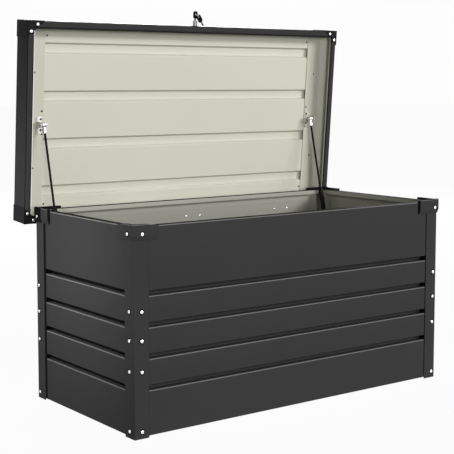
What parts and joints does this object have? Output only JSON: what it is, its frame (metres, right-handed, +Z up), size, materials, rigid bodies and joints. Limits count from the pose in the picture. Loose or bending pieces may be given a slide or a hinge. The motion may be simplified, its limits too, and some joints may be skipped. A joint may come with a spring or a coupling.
{
  "type": "deck storage box",
  "caption": "Long sheet-steel deck box with grooved walls, outside corner posts and a tray-shaped hinged lid held open by gas struts, with a keyed lock.",
  "frame": {"origin": "on the ground under the centre of the open box, at the middle of its overall length and depth", "axes": "+X along the box to the right as seen from the front, +Y to the back where the lid is hinged, +Z up"},
  "size_m": [1.2, 0.6324, 1.167],
  "materials": {
    "anthracite": "satin powder coat",
    "light_lining": "satin powder coat",
    "floor_coat": "satin powder coat",
    "cap_plastic": "matt moulded plastic",
    "black_plastic": "matt moulded plastic",
    "rubber": "matt",
    "screw_steel": "bright plated",
    "dark_screws": "satin",
    "zinc_steel": "zinc plated",
    "bright_fitting": "satin",
    "strut_black": "gloss",
    "lock_metal": "satin nickel plate",
    "key_steel": "nickel plate",
    "bow_plastic": "moulded plastic"
  },
  "bodies": {
    "box": {"post_front_left": "anthracite", "post_front_right": "anthracite", "post_rear_left": "anthracite", "post_rear_right": "anthracite", "wall_front": "anthracite", "wall_rear": "anthracite", "wall_left": "anthracite", "wall_right": "anthracite", "groove_plugs": "black_plastic", "floor_pan": "floor_coat", "rim_rail_front": "anthracite", "rim_rail_rear": "anthracite", "rim_rail_left": "anthracite", "rim_rail_right": "anthracite", "rim_cap_front_left": "cap_plastic", "rim_cap_front_right": "cap_plastic", "rim_cap_rear_left": "cap_plastic", "rim_cap_rear_right": "cap_plastic", "rim_pads": "rubber", "post_screws": "screw_steel", "hinge_body_leaves": "zinc_steel", "hinge_pins": "zinc_steel", "hinge_body_rivets": "zinc_steel", "strut_bracket_left": "zinc_steel", "strut_bracket_right": "zinc_steel"},
    "lid": {"lid_skin": "anthracite", "lid_lining": "light_lining", "lid_end_plate_left": "light_lining", "lid_end_plate_right": "light_lining", "lid_rail_front": "anthracite", "lid_rail_rear": "anthracite", "lid_rail_left": "anthracite", "lid_rail_right": "anthracite", "lid_cap_front_left": "cap_plastic", "lid_cap_front_right": "cap_plastic", "lid_cap_rear_left": "cap_plastic", "lid_cap_rear_right": "cap_plastic", "lid_screws": "screw_steel", "lining_screws": "dark_screws", "hinge_lid_leaves": "zinc_steel", "hinge_lid_rivets": "zinc_steel", "strut_stud_left": "zinc_steel", "strut_stud_right": "zinc_steel", "lock_barrel": "lock_metal", "lock_washer": "black_plastic", "lock_nut": "lock_metal"},
    "rod_left": {"strut_fitting_left": "bright_fitting", "strut_rod_left": "strut_black"},
    "rod_right": {"strut_fitting_right": "bright_fitting", "strut_rod_right": "strut_black"},
    "cylinder_left": {"strut_cylinder_left": "strut_black"},
    "cylinder_right": {"strut_cylinder_right": "strut_black"},
    "key_plug": {"lock_plug": "lock_metal", "lock_cam": "lock_metal", "key_blade": "key_steel", "key_bow": "bow_plastic"},
    "spare_key": {"key_ring": "key_steel", "spare_bow": "bow_plastic", "spare_blade": "key_steel"}
  },
  "joints": [
    {"name": "lid_hinge", "type": "hinge", "parent": "box", "child": "lid", "pos_m": [0, 0.25172, 0.52986], "axis": [1, 0, 0], "range_deg": [0, 85.67], "stiffness_Nm_per_rad": 8, "springref_deg": -28.65},
    {"name": "strut_swing_left", "type": "hinge", "parent": "lid", "child": "rod_left", "pos_m": [-0.525, 0.25336, 0.81477], "axis": [1, 0, 0], "range_deg": [-35.5, 0]},
    {"name": "strut_slide_left", "type": "slide", "parent": "rod_left", "child": "cylinder_left", "axis": [0, 0.2343, 0.9722], "range_m": [0, 0.2195]},
    {"name": "strut_swing_right", "type": "hinge", "parent": "lid", "child": "rod_right", "pos_m": [0.525, 0.25336, 0.81477], "axis": [1, 0, 0], "range_deg": [-35.5, 0]},
    {"name": "strut_slide_right", "type": "slide", "parent": "rod_right", "child": "cylinder_right", "axis": [0, 0.2343, 0.9722], "range_m": [0, 0.2195]},
    {"name": "lock_turn", "type": "hinge", "parent": "lid", "child": "key_plug", "pos_m": [0, 0.21273, 1.11957], "axis": [0, -0.0755, 0.9971], "range_deg": [0, 90]},
    {"name": "spare_swing", "type": "hinge", "parent": "key_plug", "child": "spare_key", "pos_m": [0.0034, 0.20879, 1.15437], "axis": [0, -0.9971, -0.0755], "range_deg": [0, 40]}
  ],
  "couplings": [
    {"joint": "strut_swing_left", "follows": "lid_hinge", "ratio": -0.4028},
    {"joint": "strut_slide_left", "follows": "lid_hinge", "m_per_rad": 0.14569},
    {"joint": "strut_swing_right", "follows": "lid_hinge", "ratio": -0.4028},
    {"joint": "strut_slide_right", "follows": "lid_hinge", "m_per_rad": 0.14569}
  ]
}
